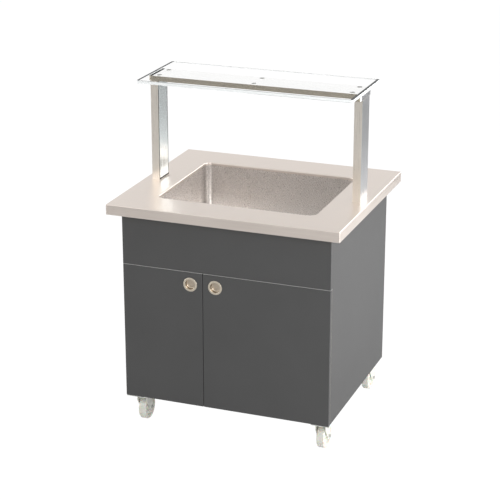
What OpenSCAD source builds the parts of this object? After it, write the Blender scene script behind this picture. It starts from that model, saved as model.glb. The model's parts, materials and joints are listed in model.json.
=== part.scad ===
// Mobile salad bar: a steel cabinet on four swivel castors, with a drained well
// let into a stainless worktop and a glass shelf carried on two posts.
// Origin: on the floor, under the middle of the worktop. Front is -Y, up is +Z.

/* [Cabinet] */
// Width over the side panels
cabinet_w = 840; // [820:10:900]
// Depth from the door fronts to the back panel
cabinet_d = 720; // [700:10:760]
// Height of the cabinet without castors and worktop
cabinet_h = 760; // [740:10:800]
// Depth of the folded side and back panels
wall_t = 20; // [18:1:24]
// Thickness of the folded body sheets
sheet_t = 1.5; // [1.2:0.1:2]
// Thickness of the flat inner liners
liner_t = 1; // [0.8:0.1:1.2]
// Height of the base tray
base_h = 30; // [26:1:36]
// Width of the channels over the castors
channel_w = 80; // [76:1:90]
// Thickness of the castor channels
channel_t = 2; // [1.5:0.25:3]
// Height of the top rail behind the fascia
top_rail_h = 40; // [30:1:50]
// Height of the rail behind the door tops
door_rail_h = 40; // [34:1:50]
// Overlap of the door tops on the rail behind them
door_lap = 17; // [14:1:20]
// Depth of both rails
rail_d = 28; // [20:1:36]
// Thickness of the divider between the compartments
divider_t = 20; // [16:1:24]
// Height of the storage shelf above the floor
shelf_z = 410; // [350:5:470]
// Depth of the storage shelf's folded edge
shelf_edge_h = 25; // [20:1:30]
// Gap between the storage shelf and the walls beside it
shelf_gap = 1; // [0.5:0.25:2]

/* [Doors and fascia] */
// Thickness of the doors
door_t = 20; // [19:0.5:22]
// Thickness of the door sheets
door_sheet_t = 1.2; // [1:0.1:1.5]
// Air gap between the closed doors and the cabinet
door_air = 2.5; // [2.5:0.25:4]
// Place of the split between the doors, from the middle
split_x = -90; // [-130:5:-60]
// Gap between the two doors
split_gap = 2; // [1.5:0.5:4]
// Gap above and below the doors
door_end_gap = 1; // [0.8:0.1:2]
// Height of the fixed fascia above the doors
fascia_h = 206; // [190:2:216]
// Thickness of the bright strip under the fascia
trim_t = 2; // [1.5:0.5:3]
// Distance from a door's outer edge to its pivot
pivot_inset_x = 6.5; // [6:0.25:7]
// Distance from a door's front to its pivot
pivot_inset_y = 8; // [7.5:0.25:8.5]
// Radius of the pivot pins
pivot_r = 2.5; // [2:0.25:3]
// Running clearance of a pin or axle in its bore
running_fit = 0.05; // [0.03:0.01:0.08]
// Length of a pivot pin inside its door
pivot_reach = 11; // [8:1:16]
// Outer diameter of the round cup pulls
pull_d = 56; // [50:1:62]
// Depth of the finger cup
pull_depth = 13; // [10:1:15]
// Drop of the pulls below the door tops
pull_drop = 48; // [40:2:80]
// Distance of the pulls from the doors' meeting edges
pull_inset = 50; // [40:1:80]

/* [Worktop and well] */
// Overhang of the worktop past the cabinet, all round
overhang = 45; // [35:5:60]
// Thickness of the worktop at its folded edge
worktop_t = 40; // [35:1:45]
// Thickness of the worktop sheet
worktop_sheet_t = 1.5; // [1.2:0.1:2]
// Width of the well opening
well_w = 640; // [620:2:646]
// Depth of the well opening, front to back
well_d = 512; // [500:2:518]
// Depth of the well below the worktop surface
well_depth = 215; // [160:5:215]
// Radius of the well's upright corners
well_r = 30; // [24:1:40]
// Radius between the well's walls and its floor
well_floor_r = 20; // [12:1:22]
// Fall of the well floor from right to left
well_fall = 6; // [3:1:8]
// Thickness of the well sheet
well_sheet_t = 1.2; // [1:0.1:1.5]
// Thickness of the insulation round the well
insulation_t = 30; // [20:1:32]

/* [Drain] */
// Distance of the drain from the well's left wall
drain_inset = 70; // [65:1:90]
// Outer radius of the drain pipes
pipe_r = 16; // [14:0.5:18]
// Wall of the drain pipes
pipe_t = 2; // [1.5:0.25:3]
// Height of the ball valve's middle above the floor
valve_z = 430; // [380:5:480]
// Length of the ball valve
valve_l = 80; // [76:1:90]
// Length of the valve lever
lever_l = 92; // [80:1:110]
// Height of the outlet's open end above the floor
outlet_z = 88; // [70:2:90]
// Length of the hose tail on the outlet
tail_l = 36; // [25:1:36]

/* [Glass shelf] */
// Width of a post, side to side
post_w = 32; // [30:1:40]
// Depth of a post, front to back
post_d = 90; // [80:1:100]
// Height of the posts above the worktop
post_h = 398; // [340:2:450]
// Wall of the posts
post_wall_t = 2; // [1.5:0.25:3]
// Distance from the worktop's side edge to a post
post_inset = 34.5; // [34:0.5:36]
// Width of the cover strip let into a post's inner face
cover_w = 80; // [60:1:82]
// Distance from a post's ends to its cover strip
cover_end = 5; // [4:1:12]
// Depth of the beam under the glass
beam_d = 130; // [110:2:160]
// Height of the beam
beam_h = 20; // [16:1:30]
// Radius of the beam's upright corners
beam_r = 12; // [6:1:20]
// Thickness of the pads between beam and glass
pad_t = 1; // [0.5:0.25:2]
// Overhang of the glass past each end of the beam
glass_overhang = 1.5; // [0:0.5:10]
// Depth of the glass, front to back
glass_d = 342; // [300:2:380]
// Thickness of the glass
glass_t = 12; // [8:1:15]
// Radius of the glass's corners
glass_r = 8; // [4:1:12]

/* [Castors] */
// Height of a castor from the floor to its plate's top
castor_h = 130; // [126:1:140]
// Diameter of the wheels
wheel_d = 100; // [90:2:100]
// Width of the wheels' treads
wheel_w = 32; // [28:1:34]
// Distance of the swivel axes from the cabinet's sides
castor_inset_x = 46; // [42:1:50]
// Distance of the swivel axes from the cabinet's front and back
castor_inset_y = 65; // [64:1:80]
// Distance of the wheel's axle behind the swivel axis
castor_trail = 25; // [20:1:30]
// Width of a castor plate
castor_plate_w = 67; // [66:1:70]
// Length of a castor plate
castor_plate_l = 77; // [74:1:78]
// Thickness of a castor plate
castor_plate_t = 2.5; // [2:0.25:4]
// Sideways spacing of a castor plate's holes
castor_hole_x = 51.5; // [50:0.5:52]
// Lengthways spacing of a castor plate's holes
castor_hole_y = 61; // [59:0.5:62]
// Thickness of the fork's steel
fork_t = 2.5; // [2:0.25:3]

/* [Hidden] */
$fn = 64;

// a cut runs this far past the face that it opens
past = 1;

// the cabinet's planes
side_x = cabinet_w / 2;
inner_x = side_x - wall_t;
liner_x = inner_x - liner_t;
front_y = -cabinet_d / 2;
body_front_y = front_y + door_t + door_air;
back_y = cabinet_d / 2;
base_z = castor_h;
floor_z = base_z + base_h;
cabinet_top = base_z + cabinet_h;
worktop_top = cabinet_top + worktop_t;
tray_x = side_x - sheet_t;
tray_back_y = back_y - sheet_t;

// the front
fascia_z = cabinet_top - fascia_h;
trim_z = fascia_z - trim_t;
door_top = trim_z - door_end_gap;
door_bottom = base_z + door_end_gap;
door_rail_z = door_top - door_lap;
left_door_in = split_x - split_gap / 2;
right_door_in = split_x + split_gap / 2;
pivot_x = side_x - pivot_inset_x;
pivot_y = front_y + pivot_inset_y;
pivot_hole_r = pivot_r + running_fit;
pin_head_r = pivot_inset_x - sheet_t - 0.5;
pull_z = door_top - pull_drop;
bracket_l = 65;
bracket_t = 3;
catch_w = 46;
catch_h = 14;
clip_y = cabinet_d * 0.28;
clip_l = 40;
clip_leg = 20;
clip_t = 2;
pull_r = pull_d / 2;
cup_r = pull_r - 8;
cup_wall_t = 1.2;
cup_hole_r = cup_r + cup_wall_t + 0.3;

// the well
well_top = worktop_top - worktop_sheet_t;
well_floor = worktop_top - well_depth;
well_slope = atan(well_fall / well_w);
well_rim_w = 12;
jacket_x = well_w / 2 + well_sheet_t + insulation_t + liner_t;
jacket_y = well_d / 2 + well_sheet_t + insulation_t + liner_t;
jacket_bottom = well_floor - well_sheet_t - insulation_t - liner_t;
core_gap = 1;

// the drain
drain_x = -well_w / 2 + drain_inset;
recess_r = 38;
recess_depth = 3;
recess_z = well_floor - recess_depth;
waste_r = 20.9;
waste_fit = 0.1;
waste_flange_r = 34;
waste_flange_t = 2;
waste_tail = 42;
waste_bottom = jacket_bottom - waste_tail;
socket_depth = 14;
tail_r = pipe_r - 0.5;
pipe_bore_r = pipe_r - pipe_t;
socket_r = pipe_r + running_fit;
nut_h = 12;
ball_r = valve_l / 4;
ball_gap = 0.4;
stem_r = 5;
lever_y = -(ball_r + 18);
lever_t = 3;
grip_r = 10;
grip_t = 2;

// the posts and the glass
post_out_x = side_x + overhang - post_inset;
post_in_x = post_out_x - post_w;
post_top = worktop_top + post_h;
post_plate_h = 8;
cover_fit = 0.2;
cover_lip_t = 1;
stud_x = inner_x + (wall_t - sheet_t) / 2;
stud_edge = 20;
stud_y = post_d / 2 - stud_edge;
stud_r = 4;
stud_hole_r = 4.5;
washer_r = 8.5;
washer_t = 1.6;
stud_nut_r = 7.5;
stud_nut_h = 6.5;
beam_x = post_out_x;
beam_top = post_top + beam_h;
beam_sheet_t = 1.5;
glass_z = beam_top + pad_t;
pad_r = 10;
pad_inset = 40;
screw_x = (post_in_x + post_out_x) / 2;
screw_r = 3;
screw_head_r = 5.5;
screw_head_h = 4;

// the castors
castor_x = side_x - castor_inset_x;
castor_y = back_y - castor_inset_y;
plate_z = castor_h - castor_plate_t;
axle_z = wheel_d / 2;
crown_z = wheel_d + 6;
crown_top = crown_z + fork_t;
crown_l = wheel_d / 2;
race_r = 20;
race_gap = 0.5;
skirt_r = 27;
skirt_top = plate_z - 4;
kingpin_r = 6;
kingpin_head_r = 9;
kingpin_head_h = 3;
fork_in_x = wheel_w / 2 + 3;
fork_out_x = fork_in_x + fork_t;
fork_foot_r = 13;
fork_head_r = wheel_d / 4;
fork_head_y = 5;
fork_head_drop = 8;
crown_back = 4;
axle_r = 4;
hex_r = 7.5;
bolt_r = 4;
bolt_hole_r = 4.25;
bolt_head_h = 5.3;
bolt_nut_h = 6.5;

body_paint = [0.376, 0.376, 0.376];
stainless = [0.86, 0.84, 0.81];
zinc = [0.80, 0.81, 0.80];
nickel = [0.72, 0.68, 0.60];
brass = [0.75, 0.62, 0.35];
nylon = [0.90, 0.89, 0.84];

// a box from one corner to the opposite one
module block(from, to) {
    translate(from) cube(to - from);
}

// a folded sheet box; open is +1 or -1 on each axis where a wall is missing
module pan(from, to, t, open) {
    difference() {
        block(from, to);
        block([for (i = [0:2]) open[i] < 0 ? from[i] - past : from[i] + t],
              [for (i = [0:2]) open[i] > 0 ? to[i] + past : to[i] - t]);
    }
}

module both_sides() {
    children();
    mirror([1, 0, 0]) children();
}

module rounded_rect(w, d, r) {
    square([w - 2 * r, d], center = true);
    square([w, d - 2 * r], center = true);
    for (x = [-1, 1], y = [-1, 1])
        translate([x * (w / 2 - r), y * (d / 2 - r)]) circle(r);
}

function heading(a) = [cos(a), sin(a)];

// two circles joined by their outer tangents
module strap(p1, r1, p2, r2) {
    run = p2 - p1;
    turn = atan2(run[1], run[0]);
    lean = acos((r1 - r2) / norm(run));
    translate(p1) circle(r1);
    translate(p2) circle(r2);
    polygon([p1 + r1 * heading(turn + lean), p2 + r2 * heading(turn + lean),
             p2 + r2 * heading(turn - lean), p1 + r1 * heading(turn - lean)]);
}

// ---- cabinet ----

module base_tray() color(body_paint) difference() {
    pan([-tray_x, body_front_y, base_z], [tray_x, tray_back_y, floor_z], sheet_t, [0, 0, -1]);
    translate([drain_x, 0, base_z]) cylinder(r = pipe_r + core_gap, h = base_h + past);
}

// the U channel that carries the castors of one side
module base_channel() color(stainless) difference() {
    block([tray_x - sheet_t - channel_w, body_front_y + sheet_t, base_z],
          [tray_x - sheet_t, tray_back_y - sheet_t, floor_z - sheet_t]);
    block([tray_x - sheet_t - channel_w + channel_t, body_front_y, base_z + channel_t],
          [tray_x - sheet_t - channel_t, tray_back_y, floor_z]);
    for (y = [-1, 1]) translate([castor_x, y * castor_y, base_z - past])
        castor_holes(channel_t + 2 * past);
}

// outer skin with its edges folded in; the skin hangs down over the base tray
module side_panel() color(body_paint) difference() {
    union() {
        pan([inner_x, body_front_y, floor_z], [side_x, tray_back_y, cabinet_top], sheet_t, [-1, 0, 0]);
        block([tray_x, body_front_y, base_z], [side_x, tray_back_y, floor_z + sheet_t]);
    }
    at_studs() cylinder(r = stud_hole_r, h = cabinet_h);
}

module side_liner() color(stainless)
    block([liner_x, body_front_y, floor_z], [inner_x, back_y - wall_t, cabinet_top]);

module back_panel() color(body_paint) {
    block([-side_x, tray_back_y, base_z], [side_x, back_y, cabinet_top]);
    pan([-inner_x, back_y - wall_t, floor_z], [inner_x, back_y, cabinet_top], sheet_t, [0, -1, -1]);
}

module front_fascia() color(body_paint) difference() {
    pan([-side_x, front_y, fascia_z], [side_x, body_front_y, cabinet_top], sheet_t, [0, 1, 0]);
    at_pivots() cylinder(r = pivot_hole_r, h = cabinet_top);
}

// the bright strip that shows as a light line above the doors
module fascia_trim() color(stainless) difference() {
    block([-side_x, front_y, trim_z], [side_x, body_front_y, fascia_z]);
    at_pivots() cylinder(r = pivot_hole_r, h = cabinet_top);
}

module top_rail() color(stainless)
    pan([-liner_x, body_front_y, cabinet_top - top_rail_h],
        [liner_x, body_front_y + rail_d, cabinet_top], sheet_t, [0, 1, 0]);

module door_rail() color(stainless)
    pan([-liner_x, body_front_y, door_rail_z],
        [liner_x, body_front_y + rail_d, door_rail_z + door_rail_h], sheet_t, [0, 1, 0]);

// folded sheet, open to the drain's side, notched round the door rail
module divider_panel() color(stainless) difference() {
    pan([split_x - divider_t / 2, body_front_y, floor_z],
        [split_x + divider_t / 2, tray_back_y, jacket_bottom], sheet_t, [-1, 0, 0]);
    block([split_x - divider_t, body_front_y - past, door_rail_z],
          [split_x + divider_t, body_front_y + rail_d, cabinet_top]);
}

module storage_shelf() color(stainless)
    pan([split_x + divider_t / 2 + shelf_gap, body_front_y + 8, shelf_z - shelf_edge_h],
        [liner_x - shelf_gap, tray_back_y - shelf_gap, shelf_z], sheet_t, [0, 0, -1]);

// four angles: two on the divider, two on the right liner
module shelf_clips() color(zinc) {
    top = shelf_z - shelf_edge_h;
    right = split_x + divider_t / 2;
    for (y = [-clip_y, clip_y]) {
        block([right, y, top - clip_leg], [right + clip_t, y + clip_l, top]);
        block([right, y, top - clip_t], [right + clip_leg, y + clip_l, top]);
        block([liner_x - clip_t, y, top - clip_leg], [liner_x, y + clip_l, top]);
        block([liner_x - clip_leg, y, top - clip_t], [liner_x, y + clip_l, top]);
    }
}

// ---- worktop and well ----

module at_studs() {
    for (x = [-1, 1], y = [-1, 1]) translate([x * stud_x, y * stud_y, floor_z + cabinet_h / 2]) children();
}

// one sheet with four folded edges and the well's opening
module worktop() color(stainless) difference() {
    pan([-side_x - overhang, front_y - overhang, cabinet_top],
        [side_x + overhang, back_y + overhang, worktop_top], worktop_sheet_t, [0, 0, -1]);
    translate([0, 0, well_top - past]) linear_extrude(worktop_sheet_t + 2 * past)
        rounded_rect(well_w, well_d, well_r);
    at_studs() cylinder(r = stud_hole_r, h = cabinet_h);
}

module worktop_core() color("tan") difference() {
    block([-side_x - overhang + worktop_sheet_t, front_y - overhang + worktop_sheet_t, cabinet_top],
          [side_x + overhang - worktop_sheet_t, back_y + overhang - worktop_sheet_t, well_top]);
    block([-jacket_x - core_gap, -jacket_y - core_gap, cabinet_top - past],
          [jacket_x + core_gap, jacket_y + core_gap, worktop_top]);
    at_studs() cylinder(r = stud_hole_r, h = cabinet_h);
}

module tub_section(w, f, h) {
    translate([-w / 2, f]) square([w, h - f]);
    translate([-w / 2 + f, 0]) square([w - 2 * f, h]);
    for (x = [-1, 1]) translate([x * (w / 2 - f), f]) circle(f);
}

// a solid with upright corners of radius r and a floor edge of radius f
module tub(w, d, r, f, h) {
    for (x = [-1, 1], y = [-1, 1]) translate([x * (w / 2 - r), y * (d / 2 - r), 0])
        rotate_extrude() intersection() {
            tub_section(2 * r, f, h);
            square([r, h]);
        }
    rotate([90, 0, 0]) linear_extrude(d - 2 * r, center = true) tub_section(w, f, h);
    rotate([90, 0, 90]) linear_extrude(w - 2 * r, center = true) tub_section(d, f, h);
}

// the well's space, grown by a wall, with its floor falling to the left
module well_space(grow, top) {
    difference() {
        translate([0, 0, well_floor - grow])
            tub(well_w + 2 * grow, well_d + 2 * grow, well_r + grow, well_floor_r + grow,
                top - well_floor + grow);
        translate([-well_w / 2, 0, well_floor - grow]) rotate([0, -well_slope, 0])
            block([-well_w, -well_d, -well_fall * 4], [2 * well_w, well_d, 0]);
    }
}

module basin() color(stainless) difference() {
    union() {
        well_space(well_sheet_t, well_top);
        translate([0, 0, well_top - well_sheet_t]) linear_extrude(well_sheet_t)
            rounded_rect(well_w + 2 * well_rim_w, well_d + 2 * well_rim_w, well_r + well_rim_w);
        translate([drain_x, 0, recess_z - well_sheet_t])
            cylinder(r = recess_r + well_sheet_t, h = recess_depth + well_sheet_t);
    }
    well_space(0, well_top + past);
    translate([drain_x, 0, recess_z]) cylinder(r = recess_r, h = 2 * recess_depth);
    translate([drain_x, 0, recess_z - 2 * well_sheet_t]) cylinder(r = waste_r + waste_fit, h = 10);
}

module basin_insulation() color("khaki") difference() {
    block([liner_t - jacket_x, liner_t - jacket_y, jacket_bottom + liner_t],
          [jacket_x - liner_t, jacket_y - liner_t, well_top - well_sheet_t]);
    well_space(well_sheet_t, well_top + past);
    translate([drain_x, 0, recess_z - well_sheet_t])
        cylinder(r = recess_r + well_sheet_t, h = 2 * recess_depth);
    translate([drain_x, 0, jacket_bottom]) cylinder(r = waste_r + core_gap, h = 2 * insulation_t);
}

module basin_jacket() color(zinc) difference() {
    pan([-jacket_x, -jacket_y, jacket_bottom], [jacket_x, jacket_y, well_top], liner_t, [0, 0, 1]);
    translate([drain_x, 0, jacket_bottom - past]) cylinder(r = waste_r + waste_fit, h = 2 * past + liner_t);
}

// ---- drain ----

module at_drain(z) {
    translate([drain_x, 0, z]) children();
}

module drain_strainer() color(stainless) at_drain(recess_z + waste_flange_t) difference() {
    rotate_extrude() {
        square([waste_flange_r - 1, 1]);
        translate([waste_flange_r - 3, 0]) square([2, 2]);
    }
    for (ring = [0:3], i = [0:max(0, 6 * ring - 1)])
        rotate(i * 60 / max(1, ring)) translate([ring * 7, 0, -past]) cylinder(r = 2, h = 4, $fn = 24);
}

// flanged waste through the well's floor, and its backnut under the jacket
module drain_waste() color(brass) at_drain(0) {
    difference() {
        rotate_extrude() {
            translate([0, recess_z]) square([waste_flange_r, waste_flange_t]);
            translate([0, waste_bottom]) square([waste_r, recess_z + past - waste_bottom]);
        }
        translate([0, 0, waste_bottom]) cylinder(r = pipe_bore_r, h = insulation_t * 4);
        translate([0, 0, waste_bottom - past]) cylinder(r = socket_r, h = socket_depth + past);
    }
    translate([0, 0, jacket_bottom - nut_h]) difference() {
        cylinder(r = waste_r + 8, h = nut_h, $fn = 6);
        translate([0, 0, -past]) cylinder(r = waste_r + waste_fit, h = nut_h + 2 * past);
    }
}

module pipe(from, to) {
    at_drain(from) difference() {
        cylinder(r = pipe_r, h = to - from);
        translate([0, 0, -past]) cylinder(r = pipe_bore_r, h = to - from + 2 * past);
    }
}

module drain_pipe() color(stainless)
    pipe(valve_z + valve_l / 2 - socket_depth, waste_bottom + socket_depth);

// its open end is turned down to a tail for a hose
module outlet_pipe() color(stainless) difference() {
    pipe(outlet_z, valve_z - valve_l / 2 + socket_depth);
    at_drain(outlet_z - past) difference() {
        cylinder(r = pipe_r + past, h = tail_l + past);
        translate([0, 0, -past]) cylinder(r = tail_r, h = tail_l + 3 * past);
    }
}

module valve_body() color(brass) at_drain(valve_z) difference() {
    union() {
        sphere(ball_r + 7);
        cylinder(r = socket_r + 3, h = valve_l - 4, center = true);
        for (z = [-1, 1]) translate([0, 0, z * (valve_l - socket_depth) / 2])
            cylinder(r = socket_r + 7, h = socket_depth, center = true, $fn = 6);
        rotate([90, 0, 0]) cylinder(r = stem_r + 4, h = ball_r + 14);
    }
    sphere(ball_r + ball_gap);
    cylinder(r = pipe_bore_r, h = valve_l + past, center = true);
    for (z = [-1, 1]) translate([0, 0, z * (valve_l - socket_depth + past) / 2])
        cylinder(r = socket_r, h = socket_depth + past, center = true);
    rotate([90, 0, 0]) cylinder(r = stem_r + running_fit, h = 2 * ball_r);
}

// bored ball with its stem; the bore lies across the pipe when shut
module valve_ball() color(stainless) at_drain(valve_z) {
    difference() {
        union() {
            sphere(ball_r);
            rotate([90, 0, 0]) cylinder(r = stem_r, h = -lever_y);
        }
        rotate([0, 90, 0]) cylinder(r = pipe_bore_r - 2, h = 3 * ball_r, center = true);
    }
    translate([0, lever_y, 0]) rotate([90, 0, 0]) cylinder(r = stem_r + 3, h = 4, $fn = 6);
}

module valve_lever() color("firebrick") at_drain(valve_z)
    translate([0, lever_y + lever_t, 0]) rotate([90, 0, 0]) difference() {
        union() {
            linear_extrude(lever_t) strap([0, 0], stem_r + 6, [lever_l - 2 * grip_r, 0], grip_r - 4);
            translate([0, 0, -grip_t]) linear_extrude(lever_t + 2 * grip_t)
                strap([lever_l - 5 * grip_r, 0], grip_r, [lever_l - grip_r, 0], grip_r);
        }
        translate([0, 0, -past]) cylinder(r = stem_r + running_fit, h = lever_t + 2 * past);
    }

// ---- posts, beam and glass ----

module post() color(stainless) difference() {
    union() {
        difference() {
            translate([(post_in_x + post_out_x) / 2, 0, worktop_top])
                linear_extrude(post_h) rounded_rect(post_w, post_d, post_wall_t);
            block([post_in_x + post_wall_t, post_wall_t - post_d / 2, worktop_top - past],
                  [post_out_x - post_wall_t, post_d / 2 - post_wall_t, post_top + past]);
            block([post_in_x - past, -cover_w / 2, worktop_top + cover_end],
                  [post_in_x + 2 * post_wall_t, cover_w / 2, post_top - cover_end]);
        }
        for (z = [worktop_top, post_top - post_plate_h])
            block([post_in_x + post_wall_t + cover_lip_t + cover_fit, 1 - post_d / 2, z],
                  [post_out_x - 1, post_d / 2 - 1, z + post_plate_h]);
    }
    for (y = [-1, 1]) translate([0, y * stud_y, 0]) {
        translate([stud_x, 0, worktop_top - past]) cylinder(r = stud_r + running_fit, h = 2 * post_plate_h);
        translate([screw_x, 0, post_top - 2 * post_plate_h])
            cylinder(r = screw_r + running_fit, h = 3 * post_plate_h);
    }
}

// strip let into the post's inner face, with a lip behind the post's edges
module post_cover() color(stainless) {
    block([post_in_x, cover_fit - cover_w / 2, worktop_top + cover_end + cover_fit],
          [post_in_x + post_wall_t, cover_w / 2 - cover_fit, post_top - cover_end - cover_fit]);
    block([post_in_x + post_wall_t, -cover_w / 2 - 1.5, worktop_top + cover_end + cover_fit],
          [post_in_x + post_wall_t + cover_lip_t, cover_w / 2 + 1.5, post_top - cover_end - cover_fit]);
}

// studs from the posts' feet through the worktop, each with its washer and nut
module post_studs() color(zinc)
    for (x = [-1, 1], y = [-1, 1]) translate([x * stud_x, y * stud_y, 0]) {
        under = cabinet_top - sheet_t;
        translate([0, 0, under - washer_t - stud_nut_h - 6])
            cylinder(r = stud_r, h = worktop_top + post_plate_h - under + washer_t + stud_nut_h + 6);
        translate([0, 0, under - washer_t]) cylinder(r = washer_r, h = washer_t);
        translate([0, 0, under - washer_t - stud_nut_h]) cylinder(r = stud_nut_r, h = stud_nut_h, $fn = 6);
    }

module shelf_beam() color(stainless) translate([0, 0, post_top]) difference() {
    linear_extrude(beam_h) rounded_rect(2 * beam_x, beam_d, beam_r);
    translate([0, 0, -past]) linear_extrude(beam_h + past - beam_sheet_t)
        rounded_rect(2 * (beam_x - beam_sheet_t), beam_d - 2 * beam_sheet_t, beam_r - beam_sheet_t);
}

module beam_base_plate() color(stainless) translate([0, 0, post_top]) difference() {
    linear_extrude(beam_sheet_t)
        rounded_rect(2 * (beam_x - beam_sheet_t), beam_d - 2 * beam_sheet_t, beam_r - beam_sheet_t);
    for (x = [-1, 1], y = [-1, 1]) translate([x * screw_x, y * stud_y, -past])
        cylinder(r = screw_r + 0.25, h = beam_sheet_t + 2 * past);
}

module beam_screws() color(zinc)
    for (x = [-1, 1], y = [-1, 1]) translate([x * screw_x, y * stud_y, post_top + beam_sheet_t]) {
        cylinder(r = screw_head_r, h = screw_head_h);
        translate([0, 0, -beam_sheet_t - post_plate_h - screw_head_h])
            cylinder(r = screw_r, h = beam_sheet_t + post_plate_h + screw_head_h);
    }

module glass_pads() color("gray")
    for (x = [-1, 0, 1], y = [-1, 1])
        translate([x * (beam_x - pad_inset), y * (beam_d / 2 - pad_inset / 2), beam_top])
            cylinder(r = pad_r, h = pad_t);

module glass_shelf() color([0.8, 0.9, 0.88, 0.4]) translate([0, 0, glass_z])
    linear_extrude(glass_t) rounded_rect(2 * (beam_x + glass_overhang), glass_d, glass_r);

// ---- doors: each is drawn for the right-hand side with its own width ----

module at_pivots() {
    for (x = [-1, 1]) translate([x * pivot_x, pivot_y, 0]) children();
}

// skin with four folded edges, and blocks welded in where the pivots run
module door_pan(from_x, to_x, pin_x, cup_x) color(body_paint) difference() {
    union() {
        pan([from_x, front_y, door_bottom], [to_x, front_y + door_t - liner_t, door_top],
            door_sheet_t, [0, 1, 0]);
        for (z = [door_bottom + door_sheet_t, door_top - door_sheet_t - pivot_reach - past])
            block([pin_x - pivot_inset_x + door_sheet_t, front_y + door_sheet_t, z],
                  [pin_x + pivot_inset_x - door_sheet_t, front_y + door_t - liner_t, z + pivot_reach + past]);
    }
    translate([pin_x, pivot_y, door_bottom - past]) cylinder(r = pivot_hole_r, h = pivot_reach + 3 * past);
    translate([pin_x, pivot_y, door_top - pivot_reach - 2 * past])
        cylinder(r = pivot_hole_r, h = pivot_reach + 3 * past);
    translate([cup_x, front_y - past, pull_z]) rotate([-90, 0, 0])
        cylinder(r = cup_hole_r, h = door_sheet_t + 2 * past);
}

module door_liner(from_x, to_x) color(stainless)
    block([from_x, front_y + door_t - liner_t, door_bottom], [to_x, front_y + door_t, door_top]);

// turned ring with a drawn finger cup behind it
module cup_pull(cup_x) color(nickel) translate([cup_x, front_y, pull_z]) rotate([90, 0, 0])
    rotate_extrude() difference() {
        union() {
            square([pull_r - 1, 1.5]);
            square([pull_r, 0.7]);
            translate([0, -pull_depth - cup_wall_t])
                square([cup_r + cup_wall_t, pull_depth + cup_wall_t + 0.1]);
        }
        translate([-past, -pull_depth]) square([cup_r - 3 + past, pull_depth + 3]);
        polygon([[cup_r - 4, -pull_depth + 3], [cup_r - 3, -pull_depth], [cup_r - 3, 3], [cup_r + 1, 3],
                 [cup_r + 1, 1.6], [cup_r, 0]]);
    }

module left_door_pan() door_pan(-side_x, left_door_in, -pivot_x, left_door_in - pull_inset);
module left_door_liner() door_liner(-side_x, left_door_in);
module left_door_pull() cup_pull(left_door_in - pull_inset);
module right_door_pan() door_pan(right_door_in, side_x, pivot_x, right_door_in + pull_inset);
module right_door_liner() door_liner(right_door_in, side_x);
module right_door_pull() cup_pull(right_door_in + pull_inset);

// magnetic catches under the door rail, one for each door
module door_catches() color("white")
    for (x = [split_x - divider_t / 2 - 4 - catch_w, split_x + divider_t / 2 + 4])
        block([x, front_y + door_t + 0.3, door_rail_z - catch_h],
              [x + catch_w, body_front_y + catch_h, door_rail_z]);

// angle under each door's outer corner, with its pin and thrust washer
module lower_hinge_brackets() color(zinc) both_sides() {
    plate_top = door_bottom - 1.5;
    block([pivot_x - bracket_l, pivot_y - 6, plate_top - bracket_t], [pivot_x + 6, body_front_y, plate_top]);
    block([pivot_x - bracket_l, body_front_y - 1.5, plate_top - bracket_t],
          [pivot_x - 15, body_front_y, base_z + base_h / 2]);
    translate([pivot_x, pivot_y, plate_top - past]) {
        cylinder(r = pivot_r, h = pivot_reach + 1.5 + past);
        cylinder(r = pivot_r + 2, h = past + 1.2);
    }
}

module upper_pivot_pins() color(zinc) at_pivots() {
    translate([0, 0, door_top - pivot_reach])
        cylinder(r = pivot_r, h = fascia_z + sheet_t - door_top + pivot_reach);
    translate([0, 0, fascia_z + sheet_t]) cylinder(r = pin_head_r, h = 2);
}

// ---- castors ----

module castor_holes(h) {
    for (x = [-1, 1], y = [-1, 1])
        translate([x * castor_hole_x / 2, y * castor_hole_y / 2, 0]) cylinder(r = bolt_hole_r, h = h);
}

module at_castor(x, y) {
    translate([x * castor_x, y * castor_y, 0]) children();
}

module at_castors() {
    for (x = [-1, 1], y = [-1, 1]) at_castor(x, y) children();
}

// top plate with its bearing boss and the kingpin
module castor_plates() color(zinc) at_castors() {
    difference() {
        translate([0, 0, plate_z]) linear_extrude(castor_plate_t)
            rounded_rect(castor_plate_w, castor_plate_l, 6);
        translate([0, 0, plate_z - past]) castor_holes(castor_plate_t + 2 * past);
    }
    translate([0, 0, crown_top + running_fit])
        cylinder(r = race_r, h = plate_z + past - crown_top - running_fit);
    translate([0, 0, crown_z - kingpin_head_h])
        cylinder(r = kingpin_r, h = plate_z - crown_z + kingpin_head_h);
    translate([0, 0, crown_z - kingpin_head_h - running_fit])
        cylinder(r1 = kingpin_head_r - 2, r2 = kingpin_head_r, h = kingpin_head_h);
}

module castor_bolts() color(zinc) at_castors()
    for (x = [-1, 1], y = [-1, 1]) translate([x * castor_hole_x / 2, y * castor_hole_y / 2, 0]) {
        translate([0, 0, plate_z - bolt_head_h]) cylinder(r = hex_r, h = bolt_head_h, $fn = 6);
        translate([0, 0, plate_z - past])
            cylinder(r = bolt_r, h = castor_plate_t + channel_t + bolt_nut_h + 3);
        translate([0, 0, base_z + channel_t]) cylinder(r = hex_r, h = bolt_nut_h, $fn = 6);
    }

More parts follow.
